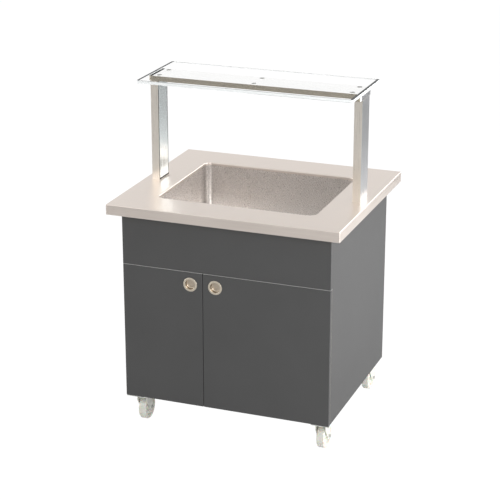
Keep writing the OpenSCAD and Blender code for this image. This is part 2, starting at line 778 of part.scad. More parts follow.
// pressed fork: crown, bearing skirt and two tapered legs
module castor_fork() color(zinc) difference() {
    union() {
        translate([0, crown_back, crown_z]) linear_extrude(fork_t) rounded_rect(2 * fork_out_x, crown_l, 4);
        translate([0, 0, crown_z]) difference() {
            cylinder(r = skirt_r, h = skirt_top - crown_z);
            translate([0, 0, fork_t]) cylinder(r = race_r + race_gap, h = skirt_top);
        }
        for (x = [-fork_out_x, fork_in_x]) translate([x, 0, 0]) rotate([90, 0, 90]) linear_extrude(fork_t)
            intersection() {
                strap([castor_trail, axle_z], fork_foot_r,
                    [fork_head_y, crown_z - fork_head_drop], fork_head_r);
                translate([-wheel_d, 0]) square([2 * wheel_d, crown_top]);
            }
    }
    translate([0, 0, crown_z - past]) cylinder(r = kingpin_r + running_fit, h = fork_t + 2 * past);
    translate([0, castor_trail, axle_z]) rotate([0, 90, 0])
        cylinder(r = axle_r + running_fit, h = 4 * fork_out_x, center = true);
}

module castor_axle() color(zinc) translate([0, castor_trail, axle_z]) rotate([0, 90, 0]) {
    cylinder(r = axle_r, h = 2 * fork_out_x + 4, center = true);
    translate([0, 0, fork_out_x]) cylinder(r = hex_r, h = bolt_head_h, $fn = 6);
    translate([0, 0, -fork_out_x - bolt_nut_h]) cylinder(r = hex_r, h = bolt_nut_h, $fn = 6);
}

// one-piece wheel: rounded tread, thin web and a wide hub
module castor_wheel() color(nylon) translate([0, castor_trail, axle_z]) rotate([0, 90, 0]) rotate_extrude() {
    tread_edge = 7;
    half = wheel_w / 2;
    rim_in = axle_z - 14;
    difference() {
        union() {
            translate([rim_in, -half]) square([axle_z - tread_edge - rim_in, wheel_w]);
            translate([rim_in, tread_edge - half]) square([axle_z - rim_in, wheel_w - 2 * tread_edge]);
            for (y = [-1, 1]) translate([axle_z - tread_edge, y * (half - tread_edge)]) circle(tread_edge);
            translate([0, -5]) square([rim_in + 1, 10]);
            translate([0, 0.7 - fork_in_x]) square([15, 2 * fork_in_x - 1.4]);
        }
        translate([-past, -2 * half]) square([axle_r + running_fit + past, 4 * half]);
    }
}

base_tray();
mirror([1, 0, 0]) base_channel();  // left_base_channel
base_channel();  // right_base_channel
mirror([1, 0, 0]) side_panel();  // left_side_panel
side_panel();  // right_side_panel
mirror([1, 0, 0]) side_liner();  // left_side_liner
side_liner();  // right_side_liner
back_panel();
front_fascia();
fascia_trim();
top_rail();
door_rail();
divider_panel();
storage_shelf();
shelf_clips();
worktop();
worktop_core();
basin();
basin_insulation();
basin_jacket();
drain_strainer();
drain_waste();
drain_pipe();
valve_body();
outlet_pipe();
mirror([1, 0, 0]) post();  // left_post
post();  // right_post
mirror([1, 0, 0]) post_cover();  // left_post_cover
post_cover();  // right_post_cover
post_studs();
shelf_beam();
beam_base_plate();
beam_screws();
glass_pads();
glass_shelf();
door_catches();
lower_hinge_brackets();
upper_pivot_pins();
castor_plates();
castor_bolts();
left_door_pan();
left_door_liner();
left_door_pull();
right_door_pan();
right_door_liner();
right_door_pull();
valve_ball();
valve_lever();
at_castor(-1, -1) castor_fork();  // front_left_fork
at_castor(-1, -1) castor_axle();  // front_left_axle
at_castor(-1, -1) castor_wheel();  // front_left_wheel
at_castor(1, -1) castor_fork();  // front_right_fork
at_castor(1, -1) castor_axle();  // front_right_axle
at_castor(1, -1) castor_wheel();  // front_right_wheel
at_castor(-1, 1) castor_fork();  // back_left_fork
at_castor(-1, 1) castor_axle();  // back_left_axle
at_castor(-1, 1) castor_wheel();  // back_left_wheel
at_castor(1, 1) castor_fork();  // back_right_fork
at_castor(1, 1) castor_axle();  // back_right_axle
at_castor(1, 1) castor_wheel();  // back_right_wheel
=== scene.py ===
"""Mobile salad bar: the visible finish of the part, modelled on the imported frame.

Everything is in metres in the part's own frame: up is +Z and the front faces -Y.
"""

import json
import math

import bmesh
import bpy
from bpy.props import FloatProperty, FloatVectorProperty, IntProperty, PointerProperty
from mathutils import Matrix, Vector

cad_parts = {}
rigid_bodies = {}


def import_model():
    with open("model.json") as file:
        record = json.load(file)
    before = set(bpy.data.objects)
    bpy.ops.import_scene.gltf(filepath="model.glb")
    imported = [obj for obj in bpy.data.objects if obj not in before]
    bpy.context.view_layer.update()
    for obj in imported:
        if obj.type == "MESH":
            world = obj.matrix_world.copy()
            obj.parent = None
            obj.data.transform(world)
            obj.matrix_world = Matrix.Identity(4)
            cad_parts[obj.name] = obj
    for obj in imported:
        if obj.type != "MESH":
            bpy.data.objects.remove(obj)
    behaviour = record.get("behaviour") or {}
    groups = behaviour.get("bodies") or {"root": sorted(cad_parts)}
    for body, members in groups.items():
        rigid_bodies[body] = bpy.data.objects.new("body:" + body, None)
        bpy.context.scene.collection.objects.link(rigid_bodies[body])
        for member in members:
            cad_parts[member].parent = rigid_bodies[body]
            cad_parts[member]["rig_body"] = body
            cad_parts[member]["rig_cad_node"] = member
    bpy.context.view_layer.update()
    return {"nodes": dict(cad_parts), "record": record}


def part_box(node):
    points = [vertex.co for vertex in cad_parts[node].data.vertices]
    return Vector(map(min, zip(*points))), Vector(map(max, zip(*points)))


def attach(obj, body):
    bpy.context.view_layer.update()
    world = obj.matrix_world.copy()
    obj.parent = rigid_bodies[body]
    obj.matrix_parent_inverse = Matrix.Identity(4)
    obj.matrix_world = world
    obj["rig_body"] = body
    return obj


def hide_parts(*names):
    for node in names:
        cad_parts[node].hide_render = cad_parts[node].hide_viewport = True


bl_info = {
    "name": "Mobile Salad Bar",
    "version": (1, 0, 0),
    "blender": (4, 5, 0),
    "location": "3D View > Sidebar > Salad Bar",
    "description": "Models the sheet metal, glass and castors of a mobile salad bar",
    "category": "Object",
}

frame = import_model()
CORNERS = ("front_left", "front_right", "back_left", "back_right")
# body and worktop sheets, and the thinner sheet of the well and the doors
SHEET = 0.0015
THIN_SHEET = 0.0012
# how far a cutting tool reaches past what it cuts
PAST = 0.001
# places nearer to each other than this are one place
NEAR = 1e-4
WHITE = (1.0, 1.0, 1.0, 1.0)


# ---- colours and nodes ----


def linear(code):
    """An sRGB hex colour as linear red, green and blue."""
    values = [int(code[i : i + 2], 16) / 255 for i in (0, 2, 4)]
    return [v / 12.92 if v <= 0.04045 else ((v + 0.055) / 1.055) ** 2.4 for v in values]


def shade(colour, share):
    """A colour for a shader socket, made lighter or darker by a share."""
    return [min(1.0, c * share) for c in colour] + [1.0]


def wire(tree, node, sockets):
    """Set a node's sockets, or link them where the value is another node's output."""
    for name, value in sockets.items():
        if isinstance(value, bpy.types.NodeSocket):
            tree.links.new(value, node.inputs[name])
        else:
            node.inputs[name].default_value = value


def add(tree, kind, sockets=None, **settings):
    """Add one node, with its settings and with its sockets set or linked."""
    node = tree.nodes.new(kind)
    for name, value in settings.items():
        setattr(node, name, value)
    wire(tree, node, sockets or {})
    return node


def blank(name):
    """A new material, its node tree, its shader and its object coordinates."""
    material = bpy.data.materials.new(name)
    material.use_nodes = True
    tree = material.node_tree
    spot = add(tree, "ShaderNodeTexCoord").outputs["Object"]
    return material, tree, tree.nodes["Principled BSDF"], spot


def mottle(tree, spot, size_mm, low=0.0, high=1.0, detail=2.0):
    """Soft patches of a size in millimetres, as values between low and high."""
    noise = add(tree, "ShaderNodeTexNoise", {
        "Vector": spot, "Scale": 1000.0 / size_mm, "Detail": detail})
    # nearly all of a noise lies between 0.3 and 0.7
    return add(tree, "ShaderNodeMapRange", {
        0: noise.outputs["Fac"], 1: 0.3, 2: 0.7, 3: low, 4: high}).outputs[0]


def streaks(tree, spot, spacing_mm, length_mm, upright=False):
    """Grinding lines: upright, or along X, and along Y on faces that look sideways."""
    drawn = []
    for axis in (2,) if upright else (0, 1):
        scale = [1.0, 1.0, 1.0]
        scale[axis] = spacing_mm / length_mm
        drawn.append(add(tree, "ShaderNodeMapping", {"Vector": spot, "Scale": scale}).outputs[0])
    vector = drawn[0]
    if not upright:
        # a face looks sideways when it is turned more than 45 degrees from the front
        normal = add(tree, "ShaderNodeNewGeometry").outputs["Normal"]
        sideways = add(tree, "ShaderNodeSeparateXYZ", {0: normal}).outputs[0]
        size = add(tree, "ShaderNodeMath", {0: sideways}, operation="ABSOLUTE").outputs[0]
        side = add(tree, "ShaderNodeMath", {0: size, 1: 0.7}, operation="GREATER_THAN").outputs[0]
        vector = add(tree, "ShaderNodeMix", {
            0: side, 4: drawn[0], 5: drawn[1]}, data_type="VECTOR").outputs[1]
    return add(tree, "ShaderNodeTexNoise", {
        "Vector": vector, "Scale": 1000.0 / spacing_mm, "Detail": 3.0, "Roughness": 0.6,
    }).outputs["Fac"]


def surface(tree, shader, colour, pattern, dark, light, relief, depth_mm, sockets):
    """A shader's colour, spread by a pattern between two shares of it, its relief of a depth
    in millimetres, and its other sockets."""
    spread = add(tree, "ShaderNodeMix", {
        0: pattern, 6: shade(colour, dark), 7: shade(colour, light)}, data_type="RGBA")
    bumps = add(tree, "ShaderNodeBump", {"Height": relief, "Distance": depth_mm / 1000})
    wire(tree, shader, {"Base Color": spread.outputs[2], "Normal": bumps.outputs[0], **sockets})
    return bumps.outputs[0]


# ---- finishes ----


def powder_coat(name, colour):
    """Polyester powder coat on steel, sprayed and baked: satin, with a fine orange-peel skin."""
    material, tree, shader, spot = blank(name)
    # orange peel is 1.5 mm across and a few microns deep
    surface(tree, shader, colour, mottle(tree, spot, 180.0), 0.97, 1.03,
            mottle(tree, spot, 1.5), 0.012, {
                "Roughness": mottle(tree, spot, 2.5, 0.46, 0.54),
                "Specular IOR Level": 0.35})
    return material


def brushed_sheet(name, colour, upright=False, roughness=0.36, length_mm=60.0,
                  depth_mm=0.004, spacing_mm=1.2):
    """Stainless or aluminium sheet, ground with a belt: a soft sheen with fine grinding lines."""
    material, tree, shader, spot = blank(name)
    # real lines are 0.1 mm apart; they are drawn 1.2 mm apart or more so that they show
    lines = streaks(tree, spot, spacing_mm, length_mm, upright)
    pattern, rough = (
        add(tree, "ShaderNodeMapRange", {0: lines, 1: 0.35, 2: 0.65, 3: low, 4: high}).outputs[0]
        for low, high in ((0.0, 1.0), (roughness - 0.04, roughness + 0.05))
    )
    surface(tree, shader, colour, pattern, 0.97, 1.02, lines, depth_mm, {
        "Roughness": rough, "Metallic": 1.0})
    return material


def mirror_stainless(name, colour):
    """Stainless sheet polished to a mirror, with the faint waviness of rolled sheet."""
    material, tree, shader, spot = blank(name)
    waves = mottle(tree, spot, 90.0)
    surface(tree, shader, colour, waves, 0.98, 1.0, waves, 0.004, {
        "Roughness": 0.0, "Metallic": 1.0})
    return material


def galvanised_sheet(name, colour):
    """Hot-dip galvanised steel sheet: dull grey with zinc spangle about 12 mm across."""
    material, tree, shader, spot = blank(name)
    spangle = add(tree, "ShaderNodeTexVoronoi", {"Vector": spot, "Scale": 1000.0 / 12.0})
    grey = add(tree, "ShaderNodeSeparateColor", {0: spangle.outputs["Color"]}).outputs[0]
    rough = add(tree, "ShaderNodeMapRange", {0: grey, 3: 0.38, 4: 0.52}).outputs[0]
    surface(tree, shader, colour, grey, 0.86, 1.06, mottle(tree, spot, 3.0), 0.01, {
        "Roughness": rough, "Metallic": 0.9})
    return material


def plated_metal(name, colour, roughness, grain_mm, metal=1.0):
    """Plated steel or brass, such as zinc or satin nickel: even, with a faint cast."""
    material, tree, shader, spot = blank(name)
    surface(tree, shader, colour, mottle(tree, spot, 14.0), 0.94, 1.03,
            mottle(tree, spot, grain_mm), 0.006, {
                "Roughness": mottle(tree, spot, grain_mm, roughness - 0.05, roughness + 0.05),
                "Metallic": metal})
    return material


def moulded_plastic(name, colour, roughness=0.42, grain_mm=1.0, glow=0.0):
    """Injection-moulded plastic, such as nylon or ABS: a fine spark-eroded grain, soft edges."""
    material, tree, shader, spot = blank(name)
    surface(tree, shader, colour, mottle(tree, spot, 25.0), 0.97, 1.02,
            mottle(tree, spot, grain_mm), 0.015, {
                "Roughness": mottle(tree, spot, grain_mm, roughness - 0.05, roughness + 0.06),
                "IOR": 1.53, "Subsurface Weight": glow, "Subsurface Scale": 0.003})
    return material


def clear_glass(name, colour):
    """Toughened low-iron float glass: clear and smooth, with the rollers' faint long waves."""
    material, tree, shader, spot = blank(name)
    # glass has an IOR of 1.52; its anti-reflective coat is drawn as a lower one, and as a
    # share of light that isn't mirrored at all
    index, unmirrored = 1.2, 0.85
    # roller waves are 200 mm long and only microns deep
    cloud = mottle(tree, spot, 220.0)
    waves = surface(tree, shader, colour, cloud, 0.985, 1.0, cloud, 0.02, {
        "Roughness": 0.0, "Transmission Weight": 1.0, "IOR": index})
    coat = add(tree, "ShaderNodeBsdfRefraction", {
        "Color": WHITE, "Roughness": 0.0, "IOR": index, "Normal": waves})
    coated = add(tree, "ShaderNodeMixShader", {
        0: unmirrored, 1: shader.outputs[0], 2: coat.outputs[0]})
    # lamps and soft light pass straight through, so that what lies under the glass is lit
    path = add(tree, "ShaderNodeLightPath").outputs
    passing = add(tree, "ShaderNodeMath", {
        0: path["Is Shadow Ray"], 1: path["Is Diffuse Ray"]}, operation="MAXIMUM")
    open_air = add(tree, "ShaderNodeBsdfTransparent")
    mix = add(tree, "ShaderNodeMixShader", {
        0: passing.outputs[0], 1: coated.outputs[0], 2: open_air.outputs[0]})
    wire(tree, tree.nodes["Material Output"], {"Surface": mix.outputs[0]})
    return material


def ground_glass_and_painted_reflection(name, colour, darker=0.2):
    """Ground edge of toughened glass, frosted; dark, a painted reflection of the pane's inside."""
    material, tree, shader, spot = blank(name)
    # grinding grit of 0.1 mm is drawn 0.6 mm coarse so that it shows
    grit = mottle(tree, spot, 0.6)
    surface(tree, shader, colour, grit, 1 - darker, 1.0, grit, 0.02, {
        "Roughness": 0.45, "IOR": 1.52})
    return material


def sealed_board(name, colour):
    """Moisture-sealed particle board: pressed chips about 4 mm long under a thin varnish."""
    material, tree, shader, spot = blank(name)
    along = add(tree, "ShaderNodeMapping", {"Vector": spot, "Scale": (0.4, 1.0, 1.0)}).outputs[0]
    chips = mottle(tree, along, 3.0, detail=5.0)
    surface(tree, shader, colour, chips, 0.72, 1.15, chips, 0.08, {"Roughness": 0.55})
    return material


def rigid_foam(name, colour):
    """Rigid polyurethane foam: pale, matt and full of cells about 1 mm across."""
    material, tree, shader, spot = blank(name)
    cells = add(tree, "ShaderNodeTexVoronoi", {
        "Vector": spot, "Scale": 1000.0 / 1.25}).outputs["Distance"]
    surface(tree, shader, colour, cells, 0.85, 1.05, cells, 0.3, {"Roughness": 0.85})
    return material


FINISHES = {}


def finish(look):
    """The material of a slot in the part's record, or of a look that only shows here."""
    if look in FINISHES:
        return FINISHES[look]
    colours = bpy.context.scene.salad_bar_colours
    made = {
        "body_paint": lambda: powder_coat("polyester_powder_coat", colours.powder),
        "stainless": lambda: brushed_sheet(
            "ground_stainless_sheet", colours.stainless,
            length_mm=220.0, depth_mm=0.016, spacing_mm=4.0),
        "post_steel": lambda: brushed_sheet(
            "ground_stainless_upright", colours.post, upright=True, roughness=0.30),
        # painted shade: the posts' outer faces and the beam's ends, darker and cooler than their
        # steel
        "side_painted_shade": lambda: brushed_sheet(
            "satin_ground_painted_side_shade", colours.side,
            upright=True, roughness=0.30, length_mm=400.0, depth_mm=0.0015),
        "cover_strip": lambda: brushed_sheet(
            "satin_anodised_cover", colours.cover,
            upright=True, roughness=0.24, length_mm=400.0, depth_mm=0.0015),
        "well_steel": lambda: brushed_sheet(
            "fine_ground_stainless", colours.well, upright=True, roughness=0.27, length_mm=6.0),
        # painted shade: the beam's edges and underside are darker, standing for the shade under
        # the glass
        "beam_painted_shade": lambda: brushed_sheet(
            "ground_stainless_painted_shade", colours.beam, roughness=0.5),
        # painted highlight: the strip under the fascia stands for the lit top edges of the doors
        "edge_trim": lambda: brushed_sheet(
            "satin_strip_painted_highlight", colours.trim, roughness=0.34),
        "mirror_polish": lambda: mirror_stainless("mirror_polished_stainless", linear("fbfbfa")),
        "galvanised_steel": lambda: galvanised_sheet("galvanised_sheet", linear("a8acae")),
        "zinc_steel": lambda: plated_metal("bright_zinc_plate", linear("c6c7c3"), 0.26, 0.8),
        "castor_zinc": lambda: plated_metal(
            "passivated_zinc_plate", colours.fork, 0.42, 0.8, metal=0.6),
        "satin_nickel": lambda: plated_metal("satin_nickel_plate", colours.nickel, 0.30, 0.7),
        # painted reflection: the pulls' flat rings are lighter than their cups, standing for the
        # lit floor they mirror
        "ring_painted_sheen": lambda: plated_metal("nickel_painted_sheen", colours.ring, 0.34, 0.7),
        "valve_brass": lambda: plated_metal("nickelled_brass", linear("bbae8c"), 0.24, 1.5),
        "core_board": lambda: sealed_board("sealed_particle_board", linear("a98a63")),
        "insulation_foam": lambda: rigid_foam("rigid_polyurethane_foam", linear("e0d3a2")),
        "catch_plastic": lambda: moulded_plastic("moulded_abs", linear("e6e6e1")),
        "pad_rubber": lambda: moulded_plastic("milky_polyurethane", linear("f6f6f3"), 0.3, 0.9),
        "lever_grip": lambda: moulded_plastic("dipped_red_vinyl", linear("a3231c"), 0.35, 1.4),
        # painted shadow: the shallow groove round each post cover is black, standing for the
        # shadow in the joint
        "joint": lambda: moulded_plastic("painted_shadow_joint", linear("101110"), 0.8, 0.8),
        "wheel_nylon": lambda: moulded_plastic(
            "moulded_cream_nylon", colours.nylon, 0.38, 0.9, glow=0.25),
        "clear_glass": lambda: clear_glass("toughened_float_glass", colours.glass),
        "glass_edge": lambda: ground_glass_and_painted_reflection("frosted_glass_edge", linear("f2f5f5"), 0.03),
        # painted reflection: the dark band on top of the glass's ends, standing for the pane's
        # inside mirrored there
        "glass_end_painted_reflection": lambda: ground_glass_and_painted_reflection("glass_painted_dark_reflection", linear("16191b")),
    }
    FINISHES[look] = made[look]()
    return FINISHES[look]


# ---- modelling by operators ----


def start():
    """Leave edit mode with nothing selected."""
    if bpy.context.mode != "OBJECT":
        bpy.ops.object.mode_set(mode="OBJECT")
    bpy.ops.object.select_all(action="DESELECT")


def hold(piece):
    """Make a piece the only one selected."""
    start()
    bpy.context.view_layer.objects.active = piece
    piece.select_set(True)


def edit(piece):
    """Go into edit mode with one piece."""
    hold(piece)
    bpy.ops.object.mode_set(mode="EDIT")


def settle(name):
    """Name the new piece and put its place into its mesh."""
    piece = bpy.context.active_object
    piece.name = piece.data.name = name
    bpy.ops.object.transform_apply(location=True, rotation=True, scale=True)
    return piece


def add_block(name, low, high):
    """A block between two opposite corners."""
    start()
    one, other = Vector(low), Vector(high)
    size = [abs(far - near) for near, far in zip(one, other)]
    bpy.ops.mesh.primitive_cube_add(size=1.0, location=(one + other) / 2, scale=size)
    return settle(name)


# each axis: the turn that lays a round's own Z along it, and the way in which its profile runs
AXES = {
    "X": ((0, math.pi / 2, 0), Vector((1, 0, 0))),
    "Y": ((math.pi / 2, 0, 0), Vector((0, -1, 0))),
    "Z": ((0, 0, 0), Vector((0, 0, 1))),
}


def add_round(name, centre, radius, length, axis="Z", sides=64):
    """A round bar about a centre, along one axis."""
    start()
    bpy.ops.mesh.primitive_cylinder_add(
        vertices=sides, radius=radius, depth=length, location=centre, rotation=AXES[axis][0]
    )
    return settle(name)


def pick_all():
    """In edit mode, select everything."""
    bpy.ops.mesh.select_all(action="SELECT")


def pick(kind, test):
    """In edit mode, select the faces or edges that pass a test, and return how many."""
    bpy.ops.mesh.select_mode(type=kind)
    bpy.ops.mesh.select_all(action="DESELECT")
    data = bpy.context.active_object.data
    mesh = bmesh.from_edit_mesh(data)
    parts = {"FACE": mesh.faces, "EDGE": mesh.edges}[kind]
    chosen = [part for part in parts if test(part)]
    for part in chosen:
        part.select_set(True)
    mesh.select_flush_mode()
    bmesh.update_edit_mesh(data)
    if not chosen:
        raise RuntimeError(f"{data.name}: nothing was picked")
    return len(chosen)


def middle(part):
    """The middle of a face or an edge."""
    return sum((v.co for v in part.verts), Vector()) / len(part.verts)


def level(face):
    """Whether a face looks up or down."""
    return abs(face.normal.z) > 0.9


def looks(axis, sign):
    """A test for faces that look one way along an axis."""
    return lambda f: f.normal[axis] * sign > 0.9


def runs(edge, axis):
    """Whether an edge runs along an axis."""
    run = edge.verts[1].co - edge.verts[0].co
    return abs(run[axis]) > 0.99 * run.length


def inner(edge):
    """Whether an edge of an open skin has a face on both sides."""
    return not edge.is_boundary


def round_off(test, radius, steps):
    """In edit mode, round the edges that pass a test."""
    pick("EDGE", test)
    bpy.ops.mesh.bevel(offset=radius, segments=steps, affect="EDGES")


def open_up(test):
    """In edit mode, take away the faces that pass a test."""
    pick("FACE", test)
    bpy.ops.mesh.delete(type="FACE")


def face_out():
    """In edit mode, turn all faces outwards."""
    pick_all()
    bpy.ops.mesh.normals_make_consistent(inside=False)


def coat(piece, *finishes):
    """Give a piece several finishes. The first is on all of its faces."""
    for look in finishes:
        piece.data.materials.append(finish(look))


def paint(piece, number, test):
    """In edit mode, put one of a piece's finishes on the faces that pass a test."""
    pick("FACE", test)
    piece.active_material_index = number
    bpy.ops.object.material_slot_assign()


def modify(piece, kind, **settings):
    """Add a modifier and apply it."""
    hold(piece)
    modifier = piece.modifiers.new(kind.lower(), kind)
    for name, value in settings.items():
        setattr(modifier, name, value)
    bpy.ops.object.modifier_apply(modifier=modifier.name)


def give_wall(piece, thickness):
    """Turn an open outer skin into sheet of a thickness, on its inner side."""
    modify(piece, "SOLIDIFY", thickness=thickness, offset=-1.0, use_even_offset=True)


def combine(piece, tool, how="DIFFERENCE"):
    """Cut a tool out of a piece, or weld it on, and remove the tool."""
    modify(piece, "BOOLEAN", object=tool, operation=how, solver="EXACT")
    bpy.data.objects.remove(tool)


def join(piece, other):
    """Join another piece into a piece."""
    hold(piece)
    other.select_set(True)
    bpy.ops.object.join()


def soften(piece, radius, angle=30):
    """Break all sharp edges."""
    modify(
        piece,
        "BEVEL",
        width=radius,
        segments=2,
        limit_method="ANGLE",
        angle_limit=math.radians(angle),
        use_clamp_overlap=True,
        harden_normals=False,
    )


def merge_flat():
    """In edit mode, merge all flat neighbours into one face."""
    pick_all()
    bpy.ops.mesh.dissolve_limited(angle_limit=math.radians(0.5))


def arc(centre_r, centre_h, radius, start_angle, end_angle, steps=5):
    """Points of a quarter or half round in a turned profile, as radius and height pairs."""
    points = []
    for i in range(steps + 1):
        a = math.radians(start_angle + (end_angle - start_angle) * i / steps)
        points.append((centre_r + radius * math.cos(a), centre_h + radius * math.sin(a)))
    return points


def turned(name, centre, axis, profile, sides):
    """A lathe-turned solid: a circle drawn out and scaled from one profile point to the next."""
    start()
    turn, lane = AXES[axis]
    spot = Vector(centre) + lane * profile[0][1]
    bpy.ops.mesh.primitive_circle_add(
        vertices=sides, radius=profile[0][0], location=spot, rotation=turn
    )
    piece = settle(name)
    edit(piece)
    bpy.ops.mesh.select_mode(type="EDGE")
    pick_all()
    for (radius, height), (next_radius, next_height) in zip(profile, profile[1:]):
        bpy.ops.mesh.extrude_edges_move(
            TRANSFORM_OT_translate={"value": lane * (next_height - height)}
        )
        share = next_radius / radius
        across = [1.0 if abs(part) > 0.5 else share for part in lane]
        bpy.ops.transform.resize(
            value=across, center_override=Vector(centre) + lane * next_height
        )
    if profile[0] == profile[-1]:
        pick_all()
        bpy.ops.mesh.remove_doubles(threshold=1e-6)
    else:
        pick("EDGE", lambda e: e.is_boundary)
        bpy.ops.mesh.fill_holes(sides=0)
    face_out()
    start()
    return piece


def folded_pan(name, low, high, open_side, sheet, fold):
    """A box folded from sheet with one side open: (axis, sign)."""
    piece = add_block(name, low, high)
    edit(piece)
    open_up(looks(*open_side))
    round_off(inner, fold, 4)
    start()
    give_wall(piece, sheet)
    return piece


def place(piece, body, slot, node, look=None, smooth=32):
    """Shade a finished piece with its flat faces kept flat, give it its finish unless it has
    several, and set it on its body in place of its CAD node."""
    hold(piece)
    bpy.ops.object.shade_smooth_by_angle(angle=math.radians(smooth))
    modify(piece, "WEIGHTED_NORMAL", keep_sharp=True)
    if len(piece.data.materials) < 2:
        piece.data.materials.clear()
        coat(piece, look or slot)
    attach(piece, body)
    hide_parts(node)


def softened_copy(node, radius, slot, body, look=None):
    """A CAD node's own shape with its sharp edges broken."""
    hold(frame["nodes"][node])
    bpy.ops.object.duplicate()
    piece = bpy.context.active_object
    piece.name = piece.data.name = node + "_finished"
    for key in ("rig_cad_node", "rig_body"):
        if key in piece:
            del piece[key]
    piece.parent = None
    edit(piece)
    pick_all()
    bpy.ops.mesh.remove_doubles(threshold=1e-6)
    merge_flat()
    start()
    soften(piece, radius)
    place(piece, body, slot, node, look=look)


# ---- settings ----


def measure(name, low, default, high, description):
    """A size in the panel, with its limits."""
    return FloatProperty(
        name=name, description=description, default=default, min=low, max=high, unit="LENGTH"
    )


def tone(name, code, description):
    """A colour in the panel, from an sRGB hex colour."""
    return FloatVectorProperty(
        name=name, description=description, default=linear(code), size=3, min=0, max=1,
        subtype="COLOR",
    )


class SaladBarSizes(bpy.types.PropertyGroup):
    """The sizes that can be changed"""

    fold: measure("Fold radius", 0.0005, 0.0012, 0.003, "Outer radius of the folded body sheets")
    worktop_fold: measure(
        "Worktop fold radius", 0.001, 0.0025, 0.004, "Radius of the worktop's folded edges")
    rim: measure("Rolled rim", 0.002, 0.004, 0.008, "Radius where the worktop rolls into the well")
    well_corner: measure(
        "Well corner radius", 0.02, 0.03, 0.045, "Radius of the well's upright corners")
    well_floor: measure(
        "Well floor radius", 0.01, 0.02, 0.025, "Radius between the well's walls and floor")
    well_fall: measure(
        "Fall of the floor", 0.0, 0.006, 0.01, "How much lower the floor lies at the drain's end")
    arris: measure(
        "Glass arris", 0.0003, 0.0008, 0.002, "Width of the small bevel round the glass's faces")
    # the glass's dark end band is a painted reflection
    band: measure(
        "Glass end band", 0.003, 0.010, 0.015, "Width of the dark ground band at the glass's ends")
    # the joint's darkness is a painted shadow
    joint: measure(
        "Cover joint", 0.0046, 0.0065, 0.009, "Width of the dark joint round the posts' covers")
    rounds: IntProperty(
        name="Steps in a curve", description="Flat steps in each quarter of a large radius",
        default=8, min=3, max=16,
    )


class SaladBarColours(bpy.types.PropertyGroup):
    """The colours that can be changed"""

    powder: tone("Powder coat", "474747", "Grey of the cabinet, fascia and doors")
    stainless: tone("Worktop steel", "d9cfc7", "Colour of the ground worktop")
    well: tone("Well steel", "dbd7d4", "Colour of the finely ground well")
    post: tone("Post steel", "ebe4da", "Warm ground steel of the posts")
    # painted shade: the posts' outer faces and the beam's ends are a darker, cooler copy of the
    # post steel
    side: tone("Post sides", "c1c2c4", "Cool satin metal of the posts' and beam's outer ends")
    cover: tone("Cover strips", "f7ffff", "Cool satin metal of the strips let into the posts")
    # painted shade: the beam's edges are darker than its steel, standing for the shade under the
    # glass
    beam: tone("Beam edges", "948d7f", "Darker steel of the beam's edges and underside")
    # painted highlight: the pale strip stands for the lit top edges of the doors
    trim: tone("Fascia strip", "b4b4b2", "Colour of the thin bright strip under the fascia")
    nickel: tone("Pulls", "b4a898", "Satin nickel of the cup pulls")
    # painted reflection: the rings are a lighter copy of the pulls' nickel
    ring: tone("Pull rings", "c9c0b0", "Brighter nickel of the pulls' flat rings")
    fork: tone("Castor forks", "f0f0ea", "Pale passivated zinc of the pressed forks")
    nylon: tone("Wheels", "dad9d0", "Cream nylon of the castor wheels")
    glass: tone("Glass", "ffffff", "Faint tint of the clear glass")


# ---- pieces ----


